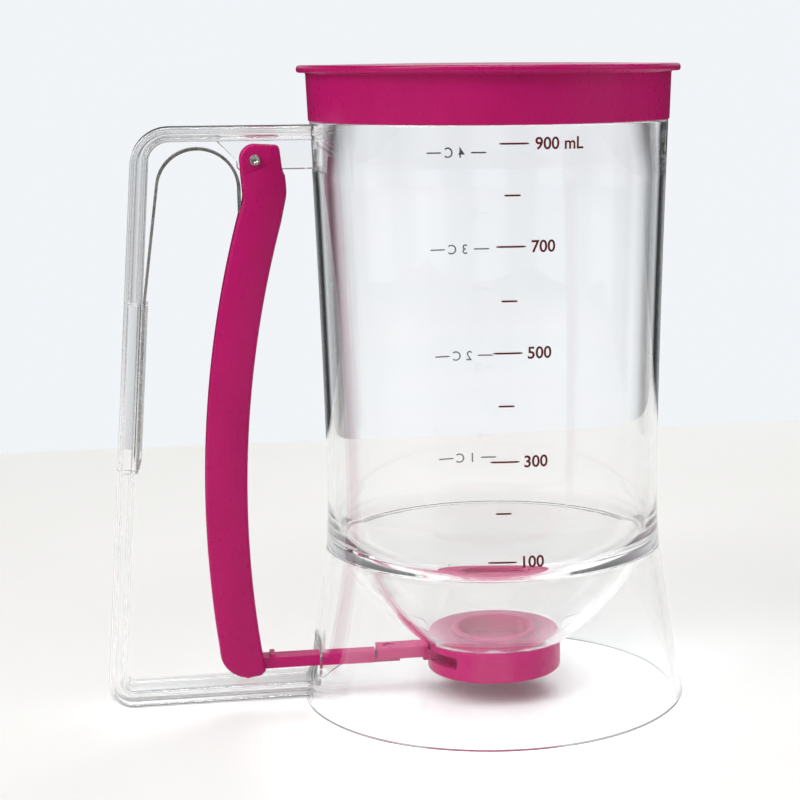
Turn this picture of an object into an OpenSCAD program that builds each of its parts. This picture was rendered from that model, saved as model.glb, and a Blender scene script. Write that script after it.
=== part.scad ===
// Pancake batter dispenser: a clear measuring jug on a flared skirt, with a push-on lid,
// a clear handle frame and a squeeze trigger that slides a gate under the outlet.
// The jug stands on z = 0 with its axis on Z, and the handle lies towards -X.

/* [Jug] */
// Outer radius of the skirt where it stands on the table
base_r = 56.5; // [54:0.5:60]
// Height of the joint between the skirt and the jug
seam_z = 46; // [43:0.5:48]
// Outer radius of the jug at that joint
seam_r = 49.1; // [48.6:0.1:50]
// Height of the narrowest place of the jug
waist_z = 66; // [60:1:80]
// Outer radius of the jug at its narrowest place
waist_r = 48.4; // [47.8:0.1:49]
// Height of the shoulder that the lid comes down to
shoulder_z = 169; // [168.6:0.1:180]
// Outer radius of the jug at the shoulder
shoulder_r = 51.1; // [50.4:0.1:52]
// How the jug widens above its waist: 1 is a straight cone and 2 is a parabola
flare = 1.4; // [1.2:0.1:2]
// Height of the pouring rim above the shoulder
neck_h = 13.5; // [10:0.5:18]
// Wall thickness of the jug and the skirt
wall = 2.4; // [2:0.1:2.8]
// Wall thickness of the neck inside the lid
neck_wall = 1.9; // [1.5:0.1:2.2]

/* [Bowl] */
// Radius at which the bowl's underside meets the flat floor
floor_r = 21; // [20.4:0.1:22]
// Height of the underside of the flat floor
floor_z = 16.5; // [16:0.1:18]
// Thickness of the flat floor
floor_t = 2.2; // [1.8:0.1:2.6]
// How far the bowl bulges below a straight funnel
bowl_bulge = 2.5; // [1.5:0.1:3.2]
// Radius of the blend between the bowl and the wall inside the jug
bowl_blend_r = 17; // [12:1:20]

/* [Lid] */
// How far the lid's flange stands out past its skirt
flange_out = 2.55; // [1.5:0.05:4]
// Thickness of the lid's top
lid_top_t = 2; // [1.6:0.1:2.6]
// How far the lid's top rises in the middle
lid_crown = 0.5; // [0.2:0.1:1]
// Wall thickness of the lid's skirt
lid_wall = 1.6; // [1.3:0.1:1.8]
// How much wider the lid's skirt is at the top than at the bottom
lid_taper = 0.5; // [0.2:0.1:0.9]
// How far the lid's skirt stands out past the shoulder of the jug
lid_step = 0.35; // [0.1:0.05:0.6]
// Gap between the lid's skirt and the neck
lid_gap = 0.3; // [0.2:0.05:0.5]

/* [Handle frame] */
// Distance from the shoulder down to the top of the frame
frame_drop = 0.9; // [0.7:0.1:3]
// Height of the underside of the frame
frame_low_z = 2.6; // [2.2:0.1:3.4]
// Distance from the jug's axis to the grip's back at the frame's underside
grip_low_x = 113.6; // [112.4:0.1:118]
// Distance from the jug's axis to the grip's back at the frame's top
grip_top_x = 100.4; // [100:0.1:104]
// Thickness of the frame's grip and of its lower bar
bar_t = 5; // [4.6:0.1:5.2]
// Thickness of the frame's upper bar
top_bar_t = 4; // [3.6:0.1:4.4]
// Width of the frame's bars
bar_w = 14; // [13:0.5:18]
// Outer radius of the frame's upper corner
corner_top_r = 11; // [9:0.5:13]
// Outer radius of the frame's lower corner
corner_low_r = 7; // [6.5:0.5:9]
// Depth of the groove along both sides of the bars
groove_d = 3; // [1.5:0.5:3]
// Thickness of the bars' flanges beside the groove
flange_t = 1.3; // [1:0.1:1.6]
// Thickness of the web that holds the trigger's pin
web_w = 7.2; // [6.8:0.1:7.4]

/* [Trigger] */
// Distance from the jug's axis to the pivot pin
pin_x = 66.9; // [66:0.1:67.5]
// Distance from the top of the frame down to the pivot pin
pin_drop = 9.3; // [8.9:0.1:9.7]
// Radius of the pivot pin
pin_r = 1.5; // [1.3:0.1:1.7]
// Width of the trigger
trigger_w = 11; // [10.8:0.1:12.5]
// Thickness of the trigger's two cheeks
cheek_t = 1.6; // [1.4:0.05:1.65]
// Thickness of the trigger's finger wall
finger_t = 1.8; // [1.4:0.1:2.2]
// Depth of the trigger from front to back
trigger_d = 12; // [11.5:0.1:12.4]
// Radius of the trigger's curve along its middle
trigger_bow_r = 306.4; // [303:0.2:310]
// Distance from the pivot pin down to the seat of the spring and the end of the curve
head_drop = 13.8; // [12.8:0.1:14.2]
// Height at which the trigger's curve stands farthest out
trigger_bow_z = 58; // [55:1:61]
// Distance from the jug's axis to the trigger's middle at that height
trigger_mid_x = 77.8; // [77.2:0.1:78.4]
// Height of the trigger's lowest point
foot_z = 9; // [8.6:0.1:9.2]
// Radius of the foot's back corner
foot_corner_r = 8; // [7:0.5:9]
// How much higher the foot's front corner is than its lowest point
foot_rise = 0.8; // [0:0.1:1]

/* [Leaf spring] */
// Thickness of the spring's strip
strip_t = 0.8; // [0.6:0.05:0.85]
// Width of the spring's strip
strip_w = 6; // [5:0.5:7]
// Radius of the spring's bend along its middle
bend_r = 11.4; // [11:0.1:11.6]
// Distance from the pivot pin out to the centre of the bend
bend_out = 15.9; // [15.7:0.1:16.3]
// Distance from the top of the frame down to the centre of the bend
bend_drop = 17.5; // [17.1:0.1:18.5]
// Lowest point of the leg in the pocket
leg_low_z = 72; // [71:1:80]
// Height at which the leg leaves the pocket
pocket_top_z = 119; // [112:1:122]

/* [Valve] */
// Radius of the outlet
outlet_r = 10.8; // [9.5:0.1:11]
// Height of the middle of the gate and the rod
gate_z = 12.6; // [12.5:0.05:12.8]
// Thickness of the gate
gate_t = 3.2; // [2.8:0.1:3.4]
// How far the gate reaches past the outlet all round
gate_lap = 3.5; // [3:0.1:3.9]
// Outer radius of the nozzle cap
cap_r = 19.8; // [19.4:0.1:20.5]
// Height of the nozzle cap's lower edge
cap_low_z = 7.3; // [6.9:0.1:7.4]
// Thickness of the collar that goes up through the floor
collar_t = 1.4; // [1.2:0.1:1.6]
// Width of the pull rod
rod_w = 5.6; // [5.2:0.1:6]
// Height of the pull rod's section
rod_t = 3.4; // [3:0.1:3.6]
// Distance from the jug's axis to the rod's hinge in the trigger
hinge_x = 73; // [72.6:0.1:73.6]
// Distance from the jug's axis to the end of the gate's tail
tail_end_x = 35.3; // [34:0.1:37]
// Width of the arch in the skirt that the rod passes through
arch_w = 24; // [20:1:26]
// Height of the arch's crown
arch_top_z = 20.4; // [20:0.2:24]

/* [Hidden] */

$fn = 96;
// A cut runs this far past the face that it opens
past = 1;
// Radial clearance of a pin that turns in a hole
turn_gap = 0.05;
// Clearance of a flat piece that slides between two faces
slide_gap = 0.1;
// Clearance at the sides of the gate and of the web
side_gap = 0.3;

magenta = [0.69, 0.07, 0.38];
clear = [0.85, 0.92, 0.95, 0.4];
steel = [0.7, 0.7, 0.72];

// Points of a circular arc from angle a0 to angle a1
function arc(c, r, a0, a1, n) = [for (i = [0:n]) let (a = a0 + (a1 - a0) * i / n)
    [c[0] + r * cos(a), c[1] + r * sin(a)]];
// The points of a list in the other order
function reversed(p) = [for (i = [len(p) - 1:-1:0]) p[i]];

// Outer radius of the jug at height z, from the seam to the shoulder
function jug_r(z) = z < waist_z
    ? waist_r + (seam_r - waist_r) * pow((z - waist_z) / (seam_z - waist_z), 2)
    : waist_r + (shoulder_r - waist_r) * pow((z - waist_z) / (shoulder_z - waist_z), flare);
// Share of the skirt's flare that is a straight cone, and its outer radius at height z
skirt_straight = 0.8;
function skirt_r(z) = let (t = (seam_z - z) / seam_z)
    seam_r + (base_r - seam_r) * (skirt_straight * t + (1 - skirt_straight) * t * t);

jug_steps = 12;
skirt_steps = 5;
jug_line = [for (i = [0:jug_steps]) let (z = seam_z + (shoulder_z - seam_z) * i / jug_steps)
    [jug_r(z), z]];
skirt_line = [for (i = [0:skirt_steps]) let (z = seam_z * i / skirt_steps) [skirt_r(z), z]];

// What hangs from the top of the frame
frame_top_z = shoulder_z - frame_drop;
pin_z = frame_top_z - pin_drop;
bend_x = pin_x + bend_out;
bend_z = frame_top_z - bend_drop;

// The lid's skirt and the neck inside it
lid_low_r = shoulder_r + lid_step;
neck_r = lid_low_r - lid_wall - lid_gap;
shoulder_t = 3;
rim_z = shoulder_z + neck_h;
lid_seat_gap = slide_gap;

// The bowl's underside is an arc from the seam's inner edge to the floor, and its inside is
// the same arc moved in by the wall, then blended into the jug's inner wall
seam_in_r = seam_r - wall;
bowl_dx = seam_in_r - floor_r;
bowl_dz = seam_z - floor_z;
bowl_chord = norm([bowl_dx, bowl_dz]);
bowl_r = bowl_chord * bowl_chord / (8 * bowl_bulge) + bowl_bulge / 2;
bowl_back = (bowl_r - bowl_bulge) / bowl_chord;
bowl_c = [(seam_in_r + floor_r) / 2 - bowl_dz * bowl_back,
    (seam_z + floor_z) / 2 + bowl_dx * bowl_back];
bowl_in_r = bowl_r - wall;
blend_x = waist_r - wall - bowl_blend_r;
blend_c = [blend_x, bowl_c[1] - sqrt(pow(bowl_in_r - bowl_blend_r, 2) - pow(blend_x - bowl_c[0], 2))];
blend_a = atan2(blend_c[1] - bowl_c[1], blend_c[0] - bowl_c[0]);
floor_top_z = floor_z + floor_t;
floor_in_a = -asin((bowl_c[1] - floor_top_z) / bowl_in_r);
under_a0 = atan2(floor_z - bowl_c[1], floor_r - bowl_c[0]);
under_a1 = atan2(seam_z - bowl_c[1], seam_in_r - bowl_c[0]);

// The nozzle cap's collar passes through the floor with this radius
collar_r = outlet_r + collar_t;
floor_hole_r = collar_r + turn_gap;

// The gate and the slot that it slides in
gate_r = outlet_r + gate_lap;
gate_low_z = gate_z - gate_t / 2;
gate_top_z = gate_z + gate_t / 2;
slot_r = gate_r + side_gap;
// The plate's back edge lies this far inside the cap's outer wall
gate_inset = 0.4;
gate_back_r = cap_r - gate_inset;
// The neck between the plate and the tail ends this far outside the cap
neck_reach = 2;
neck_end_x = cap_r + neck_reach;

// The gate's tail is a channel, and the rod's tongue hooks into it from below
tail_wall = 0.9;
tongue_gap = 0.4;
tail_w = rod_w + 2 * tail_wall;
tongue_w = rod_w - 2 * tongue_gap;
tail_rise = 1;
tail_low_z = gate_z - rod_t / 2 + tail_rise;
tail_top_z = tail_low_z + rod_t;
tail_roof = 1.3;
tongue_t = 1.8;
tongue_low_z = gate_z - rod_t / 2;
peg_inset = 3.8;
peg_x = tail_end_x - peg_inset;
peg_r = 1.3;
peg_gap = 0.5;
peg_short = 0.2;
tongue_reach = 3;
tongue_end_x = peg_x - tongue_reach;

// The trigger's curve: a band between two circles about the same centre
bow_x = trigger_bow_r - trigger_mid_x;
band_out_r = trigger_bow_r + trigger_d / 2;
band_in_r = trigger_bow_r - trigger_d / 2;
channel_w = trigger_w - 2 * cheek_t;
// Distance of a circle of the band from the jug's axis at height z
function band_x(r, z) = sqrt(r * r - pow(z - trigger_bow_z, 2)) - bow_x;
foot_c = [band_x(band_out_r, foot_z + foot_corner_r) - foot_corner_r, foot_z + foot_corner_r];
foot_floor_t = 1.6;
// The spring presses on a seat of this height, which ends this far below the spring's tip
seat_h = 3;
seat_below = 1.5;
// Depth of the sunk land round the pin
land_d = 0.8;
// The head begins where the band's curve ends, and its cheeks stand on both sides of the web
head_low_z = pin_z - head_drop;
boss_r = 4.3;
head_top_z = pin_z + boss_r;
head_back_x = pin_x + boss_r + 0.1;
// The head's back leans away from the spring's short leg
head_back_lean = 0.9;
head_reach = 7.9;
head_front_x = pin_x - head_reach;
web_drop = 2.8;
web_low_z = pin_z - web_drop;
web_turn_gap = 1.6;
web_knee_drop = 0.4;
window_gap = 0.5;
window_rise = 3;
rod_r = rod_t / 2;
trunnion_depth = 1;
trunnion_gap = 0.1;

// The frame's grip leans out towards the table
grip_h = frame_top_z - frame_low_z;
grip_lean = atan2(grip_low_x - grip_top_x, grip_h);
// Distance of the grip's back from the jug's axis at height z
function grip_x(z) = grip_low_x - (z - frame_low_z) * tan(grip_lean);
// Distance of the grip's front from the jug's axis at height z
function grip_front_x(z) = grip_x(z) - bar_t / cos(grip_lean);
// Centre of a circle that touches the frame's back at height z and lies a radius r inside it
function inside_grip(z, r) = [grip_x(z) - r / cos(grip_lean), z];
low_c = inside_grip(frame_low_z + corner_low_r, corner_low_r);

// The spring's short leg reaches this far below the seat in the trigger's head
spring_tip = 1;

// The spring's pocket on the front of the grip
pocket_gap = 0.1;
pocket_cover = 0.6;
pocket_slot_t = strip_t + 2 * pocket_gap;
pocket_w = strip_w + 3;
pocket_low_z = leg_low_z - 1;

// Everything on the handle's side is drawn as (distance from the axis, height) and stood up here
module side_plate(w) {
    rotate([90, 0, 0])
        translate([0, 0, -w / 2])
            mirror([1, 0, 0])
                linear_extrude(w)
                    children();
}

// A solid of the jug's and the skirt's outside, for fitting the frame to them
module outside() {
    rotate_extrude()
        polygon(concat([[0, 0]], skirt_line, [for (i = [1:jug_steps]) jug_line[i]], [[0, shoulder_z]]));
}

module container() {
    wall_in = [for (p = reversed(jug_line)) if (p[1] > blend_c[1] + past) [p[0] - wall, p[1]]];
    neck_in = [[neck_r - neck_wall, rim_z], [neck_r - neck_wall, shoulder_z]];
    neck_out = [[neck_r, shoulder_z], [neck_r, rim_z]];
    under = arc(bowl_c, bowl_r, under_a0, under_a1, 10);
    blend = reversed(arc(blend_c, bowl_blend_r, blend_a, 0, 6));
    inside = reversed(arc(bowl_c, bowl_in_r, floor_in_a, blend_a, 10));
    shoulder_in = [[wall_in[0][0], shoulder_z - shoulder_t]];
    color(clear)
        rotate_extrude()
            polygon(concat(
                [[floor_hole_r, floor_z]], under, jug_line, neck_out, neck_in, shoulder_in,
                [for (i = [1:len(wall_in) - 1]) wall_in[i]], blend,
                [for (i = [1:len(inside) - 1]) inside[i]], [[floor_hole_r, floor_top_z]]));
}

module base_skirt() {
    inner = [for (p = reversed(skirt_line)) [p[0] - wall, p[1]]];
    arch_low_z = frame_low_z + bar_t;
    arch_r = arch_w / 2;
    color(clear)
        difference() {
            rotate_extrude()
                polygon(concat(skirt_line, inner));
            // The arch over the frame's lower bar, which the rod passes through
            translate([-base_r - past, 0, arch_top_z - arch_r])
                rotate([0, 90, 0])
                    intersection() {
                        cylinder(h = base_r, r = arch_r);
                        translate([-arch_r, -arch_r, 0])
                            cube([arch_top_z - arch_low_z, arch_w, base_r]);
                    }
        }
}

// The frame's outline as a closed region whose right side reaches into the jug, moved in by
// inset at the grip and the lower bar, and by top_inset at the upper bar
module frame_region(inset, top_inset) {
    x0 = waist_r / 2;
    r_top = corner_top_r - inset;
    r_low = corner_low_r - inset;
    top_c = inside_grip(frame_top_z - top_inset - r_top, corner_top_r);
    polygon(concat(
        [[x0, frame_low_z + inset]],
        arc(low_c, r_low, -90, grip_lean, 8),
        arc(top_c, r_top, grip_lean, 90, 8),
        [[x0, frame_top_z - top_inset]]));
}

// The band between two such outlines, inset from the outside of the frame and from its inside
module frame_band(inset) {
    difference() {
        frame_region(inset, inset);
        frame_region(bar_t - inset, top_bar_t - inset);
    }
}

module handle_frame() {
    web_back = head_back_x + 0.4;
    web_knee_z = pin_z - web_knee_drop;
    web_high_z = frame_top_z - top_bar_t + past;
    pocket_t = pocket_slot_t + pocket_cover;
    pocket_toe = 4;
    color(clear)
        difference() {
            union() {
                difference() {
                    side_plate(bar_w)
                        frame_band(0);
                    for (side = [-1, 1])
                        translate([0, side * (bar_w - groove_d + past) / 2, 0])
                            side_plate(groove_d + past)
                                frame_band(flange_t);
                }
                // The web under the upper bar
                side_plate(web_w)
                    difference() {
                        union() {
                            polygon([[waist_r / 2, web_low_z], [web_back, web_low_z], [web_back, web_knee_z],
                                [web_back + web_high_z - web_knee_z, web_high_z], [waist_r / 2, web_high_z]]);
                            translate([pin_x, pin_z])
                                circle(head_back_x - pin_x);
                        }
                        translate([pin_x, pin_z])
                            circle(pin_r);
                    }
                // The pocket that holds the spring's long leg
                side_plate(pocket_w)
                    polygon([[grip_x(pocket_low_z) - flange_t, pocket_low_z],
                        [grip_front_x(pocket_low_z) - pocket_t / 2, pocket_low_z],
                        [grip_front_x(pocket_low_z + pocket_toe) - pocket_t, pocket_low_z + pocket_toe],
                        [grip_front_x(pocket_top_z) - pocket_t, pocket_top_z],
                        [grip_x(pocket_top_z) - flange_t, pocket_top_z]]);
            }
            side_plate(strip_w + 2 * pocket_gap)
                spring_leg(pocket_gap, pocket_gap);
            outside();
        }
}

// The spring's straight leg as it lies against the grip's front, grown by gap all round
leg_x0 = grip_front_x(leg_low_z) - pocket_gap;
leg_x1 = grip_front_x(pocket_top_z) - pocket_gap;
module spring_leg(gap, end_gap) {
    polygon([[leg_x0 + gap, leg_low_z - end_gap], [leg_x0 - strip_t - gap, leg_low_z - end_gap],
        [leg_x1 - strip_t - gap, pocket_top_z + (gap > 0 ? past : 0)],
        [leg_x1 + gap, pocket_top_z + (gap > 0 ? past : 0)]]);
}

module leaf_spring() {
    r_out = bend_r + strip_t / 2;
    r_in = bend_r - strip_t / 2;
    // The free leg leaves the bend on a tangent and runs to the top of the pocket
    run = [leg_x1 - strip_t / 2 - bend_x, pocket_top_z - bend_z];
    leave_a = atan2(run[1], run[0]) + acos(bend_r / norm(run));
    c = [bend_x, bend_z];
    tip_z = head_low_z - spring_tip;
    color(steel)
        side_plate(strip_w)
            union() {
                polygon(concat(
                    [[bend_x - r_out, tip_z]], arc(c, r_out, 180, leave_a, 16), [[leg_x1, pocket_top_z]],
                    [[leg_x1 - strip_t, pocket_top_z]], arc(c, r_in, leave_a, 180, 16),
                    [[bend_x - r_in, tip_z]]));
                spring_leg(0, 0);
            }
}

module lid() {
    top_z = rim_z + lid_seat_gap;
    low_z = shoulder_z + lid_seat_gap;
    lid_high_r = lid_low_r + lid_taper;
    flange_r = lid_high_r + flange_out;
    edge = lid_top_t / 2;
    crown_steps = 4;
    color(magenta)
        rotate_extrude()
            polygon(concat(
                [[0, top_z], [lid_high_r - lid_wall, top_z], [lid_low_r - lid_wall, low_z]],
                [[lid_low_r, low_z], [lid_high_r, top_z]],
                arc([flange_r - edge, top_z + edge], edge, -90, 90, 6),
                [for (i = [1:crown_steps]) let (t = 1 - i / crown_steps)
                    [(flange_r - edge) * t, top_z + lid_top_t + lid_crown * (1 - t * t)]]));
}

// Region of the trigger's foot: everything but the cut-away back corner, moved in by inset
module foot_region(inset) {
    high = head_top_z;
    translate([0, foot_c[1]])
        square([high, high]);
    translate([0, foot_z + inset])
        square([foot_c[0], high]);
    translate(foot_c)
        circle(foot_corner_r - inset);
}

// The curved band of the trigger, out to radius r from its centre of curvature
module trigger_band(r_in, r_out) {
    translate([-bow_x, trigger_bow_z])
        difference() {
            circle(r_out, $fn = 360);
            circle(r_in, $fn = 360);
        }
}

chin = 0.4;
module trigger_outline() {
    front_foot_x = band_x(band_in_r, foot_z);
    difference() {
        intersection() {
            trigger_band(band_in_r, band_out_r);
            foot_region(0);
            square([2 * trigger_mid_x, head_low_z]);
        }
        // The foot's lower edge climbs towards the jug
        polygon([[foot_c[0], foot_z - past], [foot_c[0], foot_z], [front_foot_x, foot_z + foot_rise],
            [front_foot_x - past, foot_z + foot_rise], [front_foot_x - past, foot_z - past]]);
    }
    // The head, round about the pin at its back, with a chin below the web
    front_low_x = band_x(band_in_r, head_low_z);
    nape_rise = 3;
    throat = [1, 4];
    brow = [1, 0.4];
    lip_in = 0.3;
    polygon([[band_x(band_out_r, head_low_z), head_low_z],
        [head_back_x - head_back_lean, head_low_z + nape_rise], [head_back_x, pin_z], [pin_x, head_top_z],
        [head_front_x + brow[0], head_top_z - brow[1]], [head_front_x + lip_in, web_low_z],
        [head_front_x - chin, web_low_z - web_turn_gap],
        [front_low_x - throat[0], head_low_z + throat[1]], [front_low_x, head_low_z]]);
    translate([pin_x, pin_z])
        circle(boss_r);
}

module trigger() {
    wall_top_z = web_low_z - web_turn_gap;
    seat_low_z = head_low_z - spring_tip - seat_below;
    window_w = rod_w + 2 * window_gap;
    // The land's lower edge: how far it lies below the pin at the back, and where it turns up
    land_back_drop = 5.4;
    land_turn = [3.4, 1.6];
    land_front = 5;
    land_top_z = head_top_z + past;
    color(magenta)
        difference() {
            side_plate(trigger_w)
                trigger_outline();
            // The channel between the cheeks, open towards the grip, with the seat for the spring
            side_plate(channel_w)
                difference() {
                    intersection() {
                        foot_region(foot_floor_t);
                        union() {
                            intersection() {
                                trigger_band(band_in_r + finger_t, band_out_r + past);
                                square([2 * trigger_mid_x, head_low_z]);
                            }
                            translate([head_front_x - chin + finger_t, head_low_z])
                                square([2 * bend_r, head_top_z]);
                            translate([0, wall_top_z])
                                square([2 * trigger_mid_x, head_top_z]);
                        }
                    }
                    translate([0, seat_low_z])
                        square([bend_x - bend_r - strip_t / 2 - slide_gap, seat_h]);
                }
            // The window in the finger wall that the rod leaves by
            translate([-foot_c[0], -window_w / 2, foot_z + foot_floor_t])
                cube([foot_corner_r, window_w, rod_t + window_rise]);
            // The rod's blind bearings
            translate([-hinge_x, 0, gate_z])
                rotate([90, 0, 0])
                    cylinder(h = channel_w + 2 * trunnion_depth, r = rod_r + turn_gap, center = true);
            translate([-pin_x, 0, pin_z])
                rotate([90, 0, 0])
                    cylinder(h = trigger_w + past, r = pin_r + turn_gap, center = true);
            // The sunk land round the pin, cut along a slanting edge
            for (side = [-1, 1])
                translate([0, side * (trigger_w + past) / 2, 0])
                    side_plate(past + land_d)
                        polygon([[head_back_x + past, pin_z - land_back_drop],
                            [pin_x - land_turn[0], pin_z - land_turn[1]], [pin_x - land_front, pin_z + past],
                            [pin_x - land_turn[0], land_top_z], [head_back_x + past, land_top_z]]);
        }
}

module pivot_pin() {
    pin_l = trigger_w + 0.2;
    dimple_r = pin_r * 0.6;
    dimple_d = 0.5;
    color(steel)
        translate([-pin_x, 0, pin_z])
            rotate([90, 0, 0])
                difference() {
                    cylinder(h = pin_l, r = pin_r, center = true);
                    for (side = [0, 1])
                        mirror([0, 0, side])
                            translate([0, 0, pin_l / 2 - dimple_d])
                                cylinder(h = dimple_d + past, r1 = dimple_r / 2, r2 = dimple_r * 2);
                }
}

module pull_rod() {
    bump_w = 2;
    bump_h = 0.9;
    bump_taper = 0.3;
    bump_reach = 3.4;
    bump_top_z = gate_z + rod_r + bump_h;
    bump_x = band_x(band_in_r, gate_z) - bump_reach;
    color(magenta)
        union() {
            // The bar from the trigger to the gate's tail
            side_plate(rod_w)
                union() {
                    translate([tail_end_x + tongue_gap, gate_z - rod_t / 2])
                        square([hinge_x - tail_end_x - tongue_gap, rod_t]);
                    translate([hinge_x, gate_z])
                        circle(rod_r);
                }
            translate([-hinge_x, 0, gate_z])
                rotate([90, 0, 0])
                    cylinder(h = channel_w + 2 * (trunnion_depth - trunnion_gap), r = rod_r, center = true);
            // A low bump on top, next to the trigger
            side_plate(rod_w)
                polygon([[bump_x, gate_z], [bump_x + bump_w, gate_z],
                    [bump_x + bump_w - bump_taper, bump_top_z], [bump_x + bump_taper, bump_top_z]]);
            // The tongue and its peg
            side_plate(tongue_w)
                translate([tongue_end_x, tongue_low_z])
                    square([tail_end_x + past - tongue_end_x, tongue_t]);
            translate([-peg_x, 0, tongue_low_z])
                cylinder(h = tail_top_z - tongue_low_z - peg_short, r = peg_r);
        }
}

module gate_plate() {
    color(magenta)
        difference() {
            union() {
                // The plate: a round nose, straight sides and a back edge that follows the cap
                intersection() {
                    union() {
                        translate([0, 0, gate_low_z])
                            cylinder(h = gate_t, r = gate_r);
                        translate([-cap_r, -gate_r, gate_low_z])
                            cube([cap_r, 2 * gate_r, gate_t]);
                    }
                    translate([0, 0, gate_low_z - past])
                        cylinder(h = gate_t + 2 * past, r = gate_back_r);
                }
                // The neck leaves the cap by its slot, and the tail stands higher outside it
                side_plate(tail_w)
                    union() {
                        translate([gate_back_r - past, gate_low_z])
                            square([neck_end_x - gate_back_r + past, gate_t]);
                        translate([cap_r + side_gap, tail_low_z])
                            square([tail_end_x - cap_r - side_gap, rod_t]);
                    }
            }
            // The tail's channel, open below and at its end, and the hole for the peg
            side_plate(rod_w)
                translate([tongue_end_x - past, tail_low_z - past])
                    square([tail_end_x - tongue_end_x + 2 * past, rod_t - tail_roof + past]);
            translate([-peg_x, 0, tail_low_z])
                cylinder(h = rod_t + past, r = peg_r + peg_gap);
        }
}

module nozzle_cap() {
    edge_r = 2.4;
    rim_w = 2.2;
    recess = 1.5;
    drip_w = 1.8;
    lip = 0.7;
    lip_z = floor_top_z + slide_gap;
    color(magenta)
        difference() {
            rotate_extrude()
                polygon(concat(
                    [[outlet_r, cap_low_z], [outlet_r + drip_w, cap_low_z],
                        [outlet_r + drip_w, cap_low_z + recess],
                        [cap_r - rim_w, cap_low_z + recess], [cap_r - rim_w, cap_low_z]],
                    arc([cap_r - edge_r, cap_low_z + edge_r], edge_r, -80, 0, 5),
                    [[cap_r, floor_z], [collar_r, floor_z], [collar_r, lip_z], [collar_r + lip, lip_z],
                        [collar_r, lip_z + lip], [outlet_r, lip_z + lip]]));
            // The slot for the gate, open towards the handle
            translate([0, 0, gate_low_z - slide_gap])
                cylinder(h = gate_t + 2 * slide_gap, r = slot_r);
            translate([-cap_r - past, -slot_r, gate_low_z - slide_gap])
                cube([cap_r + past, 2 * slot_r, gate_t + 2 * slide_gap]);
        }
}

container();
base_skirt();
handle_frame();
lid();
trigger();
pivot_pin();
leaf_spring();
pull_rod();
gate_plate();
nozzle_cap();
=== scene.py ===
"""The looks of a pancake batter dispenser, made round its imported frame: a clear plastic jug on a
flared skirt, with a clear handle frame, a magenta lid, trigger and valve, a steel spring and pin,
and two printed measuring scales. Lengths are in metres; MM turns millimetres into metres."""

import math

import bmesh
import bpy
from mathutils import Matrix, Vector

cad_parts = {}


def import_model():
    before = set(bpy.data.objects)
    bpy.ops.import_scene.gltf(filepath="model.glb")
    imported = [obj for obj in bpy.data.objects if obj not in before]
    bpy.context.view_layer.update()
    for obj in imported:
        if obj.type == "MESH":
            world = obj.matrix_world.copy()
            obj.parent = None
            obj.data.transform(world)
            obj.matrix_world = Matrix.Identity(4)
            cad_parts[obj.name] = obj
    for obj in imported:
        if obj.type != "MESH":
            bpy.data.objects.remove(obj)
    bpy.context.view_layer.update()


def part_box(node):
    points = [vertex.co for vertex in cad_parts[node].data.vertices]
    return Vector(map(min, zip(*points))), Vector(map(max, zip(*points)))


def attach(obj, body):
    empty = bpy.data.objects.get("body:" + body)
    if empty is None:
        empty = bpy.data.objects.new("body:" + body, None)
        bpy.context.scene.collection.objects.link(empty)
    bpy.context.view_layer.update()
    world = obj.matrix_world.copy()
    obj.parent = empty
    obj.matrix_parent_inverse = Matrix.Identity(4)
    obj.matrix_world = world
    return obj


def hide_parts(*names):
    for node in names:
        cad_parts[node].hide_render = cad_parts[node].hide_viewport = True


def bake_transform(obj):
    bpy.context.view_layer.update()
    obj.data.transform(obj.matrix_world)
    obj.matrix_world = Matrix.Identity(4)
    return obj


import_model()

MM = 0.001

# ---------------------------------------------------------------- sizes taken from the frame
jug_lo, jug_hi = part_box("container")
skirt_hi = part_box("base_skirt")[1]
lid_lo, lid_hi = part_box("lid")
handle_lo, handle_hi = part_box("handle_frame")
trigger_lo, trigger_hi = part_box("trigger")
cap_lo, cap_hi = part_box("nozzle_cap")
gate_lo, gate_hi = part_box("gate_plate")
rod_lo, rod_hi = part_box("pull_rod")
spring_lo, spring_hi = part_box("leaf_spring")
pin_lo, pin_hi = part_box("pivot_pin")

# The jug and the skirt
BASE_R = skirt_hi.x
SEAM_Z = skirt_hi.z
SEAM_R = 49.1 * MM
WAIST_Z = 66 * MM
WAIST_R = 48.4 * MM
SHOULDER_R = jug_hi.x
FLARE = 1.4
RIM_Z = jug_hi.z
NECK_H = 13.5 * MM
SHOULDER_Z = RIM_Z - NECK_H
WALL = 2.4 * MM
NECK_R = 49.55 * MM
NECK_WALL = 1.9 * MM
NECK_BLEND = 16 * MM
SKIRT_STRAIGHT = 0.8
JOINT_GAP = 0.03 * MM

# The bowl
FLOOR_R = 21 * MM
FLOOR_Z = jug_lo.z
FLOOR_T = 2.2 * MM
BOWL_BULGE = 2.5 * MM
BLEND_R = 17 * MM
HOLE_R = 12.25 * MM

# The handle frame
FRAME_TOP_Z = handle_hi.z
FRAME_LOW_Z = handle_lo.z
GRIP_LOW_X = 113.57 * MM
GRIP_TOP_X = 100.4 * MM
BAR_T = 5 * MM
TOP_BAR_T = 4 * MM
BAR_W = handle_hi.y - handle_lo.y
CORNER_TOP_R = 11 * MM
CORNER_LOW_R = 7 * MM
GROOVE_D = 3 * MM
FLANGE_T = 1.3 * MM
WEB_W = 7.2 * MM
ARCH_W = 24 * MM
ARCH_TOP_Z = 20.4 * MM

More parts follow.
